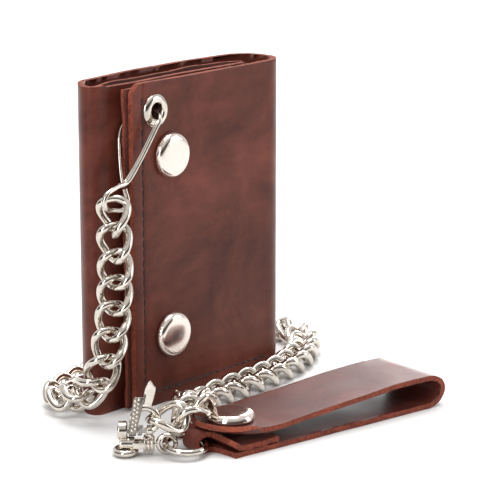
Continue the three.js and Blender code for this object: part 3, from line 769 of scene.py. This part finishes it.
# ---------------------------------------------------------------- clip and chain
def make_clip():
    frame_line = smooth_points([
        (10.1, 4.7, 97.6), (10.2, 2.0, 97.4), (10.2, -1.3, 97.2), (9.4, -3.0, 96.3), (7.0, -3.1, 93.3),
        (0.8, -3.0, 85.4), (-5.6, -3.0, 78.6), (-10.4, -3.0, 77.5), (-15.2, -3.2, 76.0),
        (-16.7, -3.2, 73.4), (-15.7, -3.2, 71.1), (-12.7, -3.1, 70.3), (-8.4, -2.6, 69.6),
        (-5.0, -2.0, 71.6), (-5.2, -1.0, 75.6),
    ], 8)
    beside = smooth_points([
        (8.6, -3.2, 95.9), (6.2, -3.35, 94.0), (0.0, -3.3, 86.1), (-6.2, -3.2, 79.5), (-7.6, -3.2, 78.6),
    ], 8)
    shape = merged(wire(frame_line, 0.8), wire(beside, 0.5))
    metal(shape, "clip_wire", "front", ["clip_frame"])
    tongue_line = smooth_points([
        (-5.5, -0.2, 77.6), (-5.0, 0.9, 80.6), (-3.4, 2.9, 86.5), (-1.4, 4.6, 92.2),
        (1.8, 4.95, 95.8), (6.8, 4.95, 97.2),
    ], 8)
    metal(wire(tongue_line, 0.55), "clip_spring_tongue", "tongue", ["clip_tongue"])


def lay_run(stops):
    """Links along a run, each a chord one pitch long, as (start, end, flat side)."""
    samples = 60
    places = smooth_points([place for place, face in stops], samples)
    faces = smooth_points([face for place, face in stops], samples)
    links = []
    pivot, since = places[0], 0
    for i, place in enumerate(places):
        if (place - pivot).length < LINK_PITCH:
            continue
        low, high = 0.0, 1.0
        for _ in range(30):
            middle = (low + high) / 2
            trial = places[i - 1].lerp(place, middle)
            low, high = (middle, high) if (trial - pivot).length < LINK_PITCH else (low, middle)
        end = places[i - 1].lerp(place, low)
        links.append((pivot, end, faces[(since + i) // 2]))
        pivot, since = end, i - 1
    return links, pivot


def lay_chain():
    first, first_end = lay_run(FROM_CLIP)
    last, last_end = lay_run(FROM_HOOK)
    count = round((first_end - last_end).length / LINK_PITCH)
    middle = []
    for i in range(count):
        ends = (first_end.lerp(last_end, k / count) for k in (i, i + 1))
        middle.append((*ends, Vector(FLAT)))
    return [*first, *middle, *reversed(last)]


def link_frame(start, end, face):
    along = (end - start).normalized()
    flat = (face - along * face.dot(along)).normalized()
    axes = Matrix((along, flat.cross(along), flat)).transposed().to_4x4()
    return at(*((start + end) / 2)) @ axes


def curb_link():
    """A twisted oval of round wire."""
    line = []
    for i in range(44):
        t = 2 * math.pi * i / 44
        line.append((LINK_A * math.cos(t), LINK_B * math.sin(t), LINK_TWIST * math.sin(2 * t)))
    return wire(line, LINK_WIRE, cyclic=True, sides=5)


def make_chain():
    links = lay_chain()
    pattern = curb_link()
    first_after = len(links) - LINKS_AFTER
    for i, link in enumerate(links):
        shape = moved(pattern.copy(), link_frame(*link))
        lowest = min(v.co.z for v in shape.verts)
        if lowest < NEAR_FLOOR:
            bmesh.ops.translate(shape, verts=shape.verts, vec=(0, 0, LINK_GAP - lowest))
        number = f"{i + 1:02d}"
        hidden = LINKS_BEFORE <= i < first_after
        node = "chain_rear_run" if hidden else "chain_link_" + number
        metal(shape, "curb_link_" + number, "front", [node], crease=180)
    pattern.free()


# ---------------------------------------------------------------- hook, swivel and ring
def along_hook(shape, u, v, w):
    return moved(shape, at(u, v, w) @ along_x())


def hook_collar():
    """Banded collar that the swivel turns in."""
    profile = [(1.15, 1.2), (2.6, 1.2)]
    for u in (1.2, 2.35, 3.5):
        band = [(2.62, u + 0.02), (2.82, u + 0.14), (2.9, u + 0.38), (2.82, u + 0.62), (2.55, u + 0.78),
                (2.34, u + 0.86), (2.34, u + 1.02)]
        profile += band
    profile += [(2.2, 4.6), (1.15, 4.6), (1.15, 1.2)]
    return moved(turned(profile, 56), at(0, AXLE_V, BARREL_W) @ along_x())


def finger_loop():
    line = []
    for i in range(48):
        t = 2 * math.pi * i / 48
        line.append((-4.4 + 3 * math.cos(t), 2 + 3.3 * math.sin(t), 1.45 + 0.15 * math.cos(t)))
    return wire(line, 1.15, cyclic=True)


def hook_crook():
    line = [(p.x, AXLE_V, p.y) for p in arc(1.7, 11.4, 3.9, 3.9, -66, 192, 40)]
    return wire(line, 1.1)


def hook_leaf():
    outline = [(1.3, 14.6), (3.3, 14.6)]
    outline += [(3.3 + 1.9 * math.sin(a) ** 1.1, 14.6 + 5.5 * a) for a in (0.35, 0.7, 1.0, 1.3)]
    outline += [(4.5, 22.3), (4.0, 23.4), (3.5, 24.0), (2.7, 23.3), (1.9, 21.6), (1.5, 19.5)]
    return bar(outline, AXLE_V - 0.5, AXLE_V + 0.5, 0.18)


def block(size, place, ease=0.3):
    x, y, z = (s / 2 for s in size)
    shape = bar([(-x, -z), (x, -z), (x, z), (-x, z)], -y, y, ease)
    return moved(shape, at(*place))


def make_hook():
    body = merged(
        along_hook(rod(2.2, 4.7, 0.5), -3.85, AXLE_V, BARREL_W),
        finger_loop(),
        block((4.2, 1, 2), (0, -0.2, BARREL_W)),
        block((4.2, 1, 2), (0, 4.2, BARREL_W)),
        hook_collar(),
        along_hook(rod(2.9, 3.2, 0.7, 56), -5.3, AXLE_V, AXLE_W),
        block((2.1, 3, 2.6), (-5, 2, 5.6)),
        block((1.4, 2, 1.6), (3, 2, 6.4)),
        along_hook(rod(1.6, 1.8, 0.35), 3.0, AXLE_V, AXLE_W),
        hook_crook(),
        hook_leaf(),
    )
    metal(moved(body, HOOK_FRAME), "hook_casting", "front", ["hook_body"])
    pin = merged(
        along_hook(rod(0.8, 10.4, 0.2, 28), -1.4, AXLE_V, AXLE_W),
        along_hook(rod(1.25, 0.5, 0.2, 28), 4.0, AXLE_V, AXLE_W),
    )
    metal(moved(pin, HOOK_FRAME), "hook_pivot_pin", "front", ["hook_pin"], STEEL)
    coil = []
    for i in range(96):
        angle = 5 * math.pi * i / 95
        coil.append((-0.7 + 1.6 * i / 95, AXLE_V + 1.45 * math.cos(angle), AXLE_W + 1.45 * math.sin(angle)))
    metal(moved(wire(coil, 0.28, sides=3), HOOK_FRAME), "hook_coil_spring", "front", ["hook_spring"],
          STEEL)


def make_trigger():
    outline = [(-3.25, 7.8), (-1.1, 7.8), (1.75, 18.6), (1.2, 19.4), (-1.1, 19.4), (-1.6, 18.9)]
    parts = [
        along_hook(rod(1.8, 2.2, 0.2), -2.2, AXLE_V, AXLE_W),
        bar(outline, -0.9, 0.5, 0.25),
        block((2.2, 2.2, 1.6), (-2.2, 0.7, AXLE_W)),
        moved(rod(0.85, 0.9, 0.2, 28), at(-2.25, AXLE_V, 8.9)),
    ]
    metal(moved(merged(*parts), HOOK_FRAME), "hook_thumb_trigger", "trigger", ["hook_trigger"], SHADED)
    rows = 8
    studs = []
    for i in range(rows):
        w = 9.1 + 9.3 * i / (rows - 1)
        left = -3.0 + (w - 7.8) * 0.128
        for column in (0.55, 1.55):
            knob = bmesh.new()
            bmesh.ops.create_uvsphere(knob, u_segments=12, v_segments=8, radius=1)
            bmesh.ops.scale(knob, vec=(0.52, 0.36, 0.44), verts=knob.verts)
            turn = Matrix.Rotation(0.45 if column < 1 else -0.45, 4, "Y")
            place = (left + column + 0.1, -0.9, w + (0.3 if column > 1 else -0.25))
            studs.append(moved(knob, at(*place) @ turn))
    metal(moved(merged(*studs), HOOK_FRAME), "hook_knurl", "trigger", ["hook_trigger"])


def make_swivel_and_ring():
    loop = []
    for i in range(44):
        t = 2 * math.pi * i / 44
        loop.append((8.3 + 2.7 * math.cos(t), AXLE_V, BARREL_W + 2.7 * math.sin(t)))
    eye = merged(
        wire(loop, 0.78, cyclic=True),
        along_hook(rod(0.85, 5.4, 0.1, 28), 2.9, AXLE_V, BARREL_W),
        along_hook(rod(1.4, 1.0, 0.25, 36), 0.25, AXLE_V, BARREL_W),
    )
    metal(moved(eye, HOOK_FRAME), "swivel_eye_loop", "swivel", ["swivel_eye"])
    line = []
    for i in range(72):
        t = 2 * math.pi * i / 72
        u, v = RING_RADIUS * math.cos(t), RING_RADIUS * math.sin(t)
        line.append((RING_U + u, AXLE_V + v, RING_W - 0.06 * u + 0.1 * v))
    metal(moved(wire(line, RING_WIRE, cyclic=True), HOOK_FRAME), "split_ring", "ring", ["belt_ring"])


# ---------------------------------------------------------------- belt loop
def side_to_world():
    """From a strap's side view (s, z, n) to the wallet's X, Y and Z."""
    swap = Matrix(((1, 0, 0, 0), (0, 0, 1, BELT_MID), (0, 1, 0, 0), (0, 0, 0, 1)))
    return BELT_FRAME @ swap


def strap_shaping(co):
    """Rounds the upper layer's tip, and lets the long edges wander a little."""
    half = BELT_WIDTH / 2
    s, z, n = co
    if z > 5 and s < TIP_FROM:
        share = min(1.0, abs(n) / half)
        tip = TIP_CENTRE - TIP_LENGTH * math.sqrt(max(0.0, 1 - share * share))
        s = TIP_FROM - (TIP_FROM - s) * (TIP_FROM - tip) / (TIP_FROM - TIP_CENTRE + TIP_LENGTH)
        z += 0.35 * share**2 * max(0.0, (8 - s) / 15)
    n += 0.35 * noise.noise(Vector((s * 0.07, z * 0.3, 2.0))) * n / half
    z += 0.18 * noise.noise(Vector((s * 0.06, 8.0, n * 0.09)))
    return Vector((s, z, n))


def tab_shaping(co):
    """Narrow where it goes through the ring, full width on both layers beside it."""
    s, z, n = co
    half = BELT_WIDTH / 2
    share = min(1.0, max(0.0, (s - TAB_WIDENS_AT) / TAB_WIDENS_OVER))
    share = share * share * (3 - 2 * share)
    width = TAB_WIDTH / 2 + (half - 0.25 - TAB_WIDTH / 2) * share
    n = n / half * width + 0.4 * noise.noise(Vector((s * 0.4, z, n * 0.2))) * share
    if z > 2 and s > 10:
        s += 0.9 * noise.noise(Vector((4.0, n * 0.16, 1.0)))
    return Vector((s, z, n))


def make_belt_loop():
    half = BELT_WIDTH / 2
    rows = spaced(-half, half, 1.3)
    upper = smooth_points([
        (-7.2, 8.45, 0), (-4, 7.25, 0), (2, 6.95, 0), (13, 7.0, 0), (30, 8.0, 0), (50, 9.5, 0),
        (66, BELT_HIGH, 0), (BELT_END, BELT_HIGH, 0),
    ], 7)
    middle = (BELT_LOW + BELT_HIGH) / 2
    fold = arc(BELT_END, middle, BELT_REACH, middle - BELT_LOW, 90, -90, 26)[1:-1]
    lower = [Vector((s, BELT_LOW)) for s in reversed(spaced(-3.4, BELT_END, 2.2))]
    line = [*[p.to_2d() for p in upper], *fold, *lower]
    strap = hide(sheet(line, rows, strap_shaping), "belt_strap", BELT_LEATHER, [STRAP, CUT_EDGE],
                 side_to_world(), ragged=0.14)
    bend = ("belt_lower", "belt_upper", (0, 0, 0.0021), (0, 0, 0.0060))
    finish(strap, ["belt_top", "belt_fold"], bend=bend)

    around = arc(-7, 3.5, 3.85, 3.5 - BELT_LOW, 268, 92, 18)
    back_over = smooth_points([
        (-6.6, 6.05, 0), (-4.3, 5.3, 0), (-2.2, 3.6, 0), (0.6, 2.76, 0), (14, 2.74, 0),
    ], 8)
    start = [Vector((s, BELT_LOW)) for s in (-3.5, -4.2, -5.0, -6.0)]
    line = [*start, *around, *[p.to_2d() for p in back_over]]
    # The tab's leather is the strap hide with painted light for the shade it lies in, not a flesh side.
    tab = hide(sheet(line, rows, tab_shaping), "belt_ring_tab", BELT_LEATHER, [STRAP_PAINTED_LIGHT, CUT_EDGE],
               side_to_world(), ragged=0.24)
    finish(tab, ["belt_base"], "belt_lower")

    cap = moved(cap_shape(1.55), BELT_FRAME @ at(BELT_SNAP, BELT_MID, 7.95))
    metal(cap, "belt_cap_dome", "belt_upper", ["belt_snap_cap"], BRIGHT)
    upside_down = Matrix.Rotation(math.pi, 4, "X")
    socket = moved(socket_shape(1.6), BELT_FRAME @ at(BELT_SNAP, BELT_MID, 5.95) @ upside_down)
    metal(socket, "belt_socket_ring", "belt_upper", ["belt_snap_socket"], STEEL)
    stud = moved(stud_shape(1.5, 2.9), BELT_FRAME @ at(BELT_SNAP, BELT_MID, 3.78))
    metal(stud, "belt_stud_post", "belt_lower", ["belt_snap_stud"], STEEL)


# ---------------------------------------------------------------- studio
def make_floor():
    shape = bmesh.new()
    bmesh.ops.create_grid(shape, x_segments=2, y_segments=2, size=FLOOR_SIZE / MM)
    floor = object_of(shape, "floor", [])
    material, nodes, links = new_material("pale_paper")
    shader = nodes["Principled BSDF"]
    coords = nodes.new("ShaderNodeTexCoord").outputs["Object"]
    tone = noise_at(nodes, links, coords, 3, 2, 0.5)
    links.new(ramp(nodes, links, tone, [(0.3, (0.79, 0.79, 0.79)), (0.7, (0.81, 0.81, 0.81))]),
              shader.inputs["Base Color"])
    shader.inputs["Roughness"].default_value = 0.9
    shader.inputs["Specular IOR Level"].default_value = 0.1
    floor.data.materials.append(material)


def make_lamp(name, place, size, power):
    """A soft box that faces the wallet."""
    lamp = bpy.data.lights.new(name, "AREA")
    lamp.shape = "RECTANGLE"
    lamp.size, lamp.size_y = size
    lamp.energy = power
    holder = bpy.data.objects.new(name, lamp)
    bpy.context.scene.collection.objects.link(holder)
    holder.location = place
    aim = Vector(LIT_CENTRE) - Vector(place)
    holder.rotation_euler = aim.to_track_quat("-Z", "Y").to_euler()


def make_studio():
    make_floor()
    world = bpy.data.worlds.new("studio")
    bpy.context.scene.world = world
    world.use_nodes = True
    nodes, links = world.node_tree.nodes, world.node_tree.links
    coords = nodes.new("ShaderNodeTexCoord").outputs["Generated"]
    split = nodes.new("ShaderNodeSeparateXYZ")
    links.new(coords, split.inputs["Vector"])
    sky = ramp(nodes, links, split.outputs["Z"], [
        (0.0, (0.2, 0.18, 0.16)), (0.14, (0.045, 0.04, 0.035)), (0.38, (0.12, 0.115, 0.11)),
        (0.5, (0.55, 0.54, 0.53)), (0.8, (0.8, 0.79, 0.78)),
    ])
    toward = nodes.new("ShaderNodeVectorMath")
    toward.operation = "DOT_PRODUCT"
    links.new(coords, toward.inputs[0])
    toward.inputs[1].default_value = (0.76, 0.65, 0)
    behind = map_range(nodes, links, toward.outputs["Value"], 0.15, 0.55, 0, 1)
    sky = mix_colour(nodes, links, behind, sky, (0.95, 0.95, 0.95))
    links.new(sky, nodes["Background"].inputs["Color"])
    nodes["Background"].inputs["Strength"].default_value = 1.0
    for name, (place, size, power) in LAMPS.items():
        make_lamp(name, place, size, power)
    bpy.context.scene.view_settings.view_transform = "Standard"


def make_camera():
    """At the product's left front, a little above it."""
    camera = bpy.data.cameras.new("camera")
    camera.sensor_width = 36
    camera.lens = LENS
    holder = bpy.data.objects.new("camera", camera)
    bpy.context.scene.collection.objects.link(holder)
    yaw, pitch = math.radians(CAMERA_YAW), math.radians(CAMERA_PITCH)
    aim = Vector((math.sin(yaw) * math.cos(pitch), math.cos(yaw) * math.cos(pitch), -math.sin(pitch)))
    holder.location = CAMERA_AT
    holder.rotation_euler = aim.to_track_quat("-Z", "Y").to_euler()
    bpy.context.scene.camera = holder


make_camera()
make_wallet()
make_stitching()
make_snaps()
make_eyelet()
make_clip()
make_chain()
make_hook()
make_trigger()
make_swivel_and_ring()
make_belt_loop()
make_studio()
